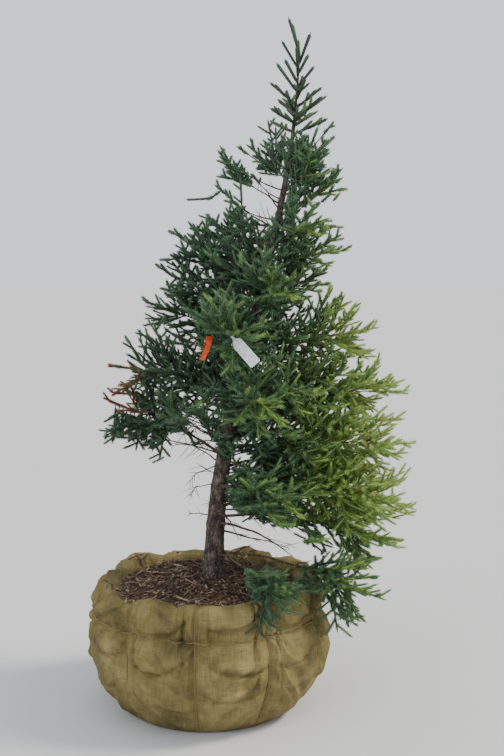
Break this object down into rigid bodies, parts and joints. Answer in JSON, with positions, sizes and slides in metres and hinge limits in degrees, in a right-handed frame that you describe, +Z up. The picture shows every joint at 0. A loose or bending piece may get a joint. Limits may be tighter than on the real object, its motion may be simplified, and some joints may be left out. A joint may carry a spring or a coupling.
{
  "type": "balled-and-burlapped spruce sapling",
  "caption": "Young spruce lifted for planting: a leaning, tapering trunk with whorls of needled boughs, standing on a root ball wrapped in burlap and laced with twine.",
  "frame": {"origin": "middle of the root ball's flat underside, which the plant stands on", "axes": "+Z up the tree, -Y towards the front that the picture shows, +X to the right in the picture"},
  "size_m": [1.4669, 1.2266, 3.1043],
  "materials": {
    "trunk_bark": "grey-brown scaly bark, matt",
    "bough_bark": "brown twig bark, matt",
    "burlap": "olive-khaki woven burlap, matt",
    "soil": "dark soil with shredded bark, matt",
    "twine": "twisted plant-fibre twine, matt",
    "label": "bare white flexible plastic",
    "ribbon": "orange-red plastic film, satin",
    "needles_shaded": "blue-green needles, matt",
    "needles_sunny": "yellow-green needles, matt"
  },
  "bodies": {
    "root": {"trunk": "trunk_bark", "root_ball": "burlap", "soil_top": "soil", "twine": "twine", "tag": "label", "ribbon": "ribbon", "bough_1_1": "bough_bark", "bough_1_2": "bough_bark", "bough_2_1": "bough_bark", "bough_2_2": "bough_bark", "bough_2_3": "bough_bark", "bough_3_1": "bough_bark", "bough_3_2": "bough_bark", "bough_3_3": "bough_bark", "bough_4_1": "bough_bark", "bough_4_2": "bough_bark", "bough_4_3": "bough_bark", "bough_4_4": "bough_bark", "bough_5_1": "bough_bark", "bough_5_2": "bough_bark", "bough_5_3": "bough_bark", "bough_5_4": "bough_bark", "bough_6_1": "bough_bark", "bough_6_2": "bough_bark", "bough_6_3": "bough_bark", "bough_6_4": "bough_bark", "needles_1_1": "needles_shaded", "needles_1_2": "needles_sunny", "needles_2_1": "needles_sunny", "needles_2_2": "needles_sunny", "needles_2_3": "needles_sunny", "needles_3_1": "needles_shaded", "needles_3_2": "needles_sunny", "needles_3_3": "needles_sunny", "needles_4_1": "needles_shaded", "needles_4_2": "needles_sunny", "needles_4_3": "needles_shaded", "needles_4_4": "needles_shaded", "needles_5_1": "needles_shaded", "needles_5_2": "needles_sunny", "needles_5_3": "needles_shaded", "needles_5_4": "needles_shaded", "needles_6_1": "needles_shaded", "needles_6_2": "needles_sunny", "needles_6_3": "needles_shaded", "needles_6_4": "needles_shaded", "needles_7_1": "needles_shaded", "needles_7_2": "needles_shaded", "needles_7_3": "needles_shaded", "needles_7_4": "needles_shaded", "needles_8_1": "needles_shaded", "needles_8_2": "needles_shaded", "needles_8_3": "needles_shaded", "needles_8_4": "needles_shaded", "needles_9_1": "needles_shaded", "needles_9_2": "needles_shaded", "needles_9_3": "needles_shaded", "needles_9_4": "needles_shaded", "needles_9_5": "needles_shaded", "needles_leader": "needles_shaded"}
  },
  "joints": []
}
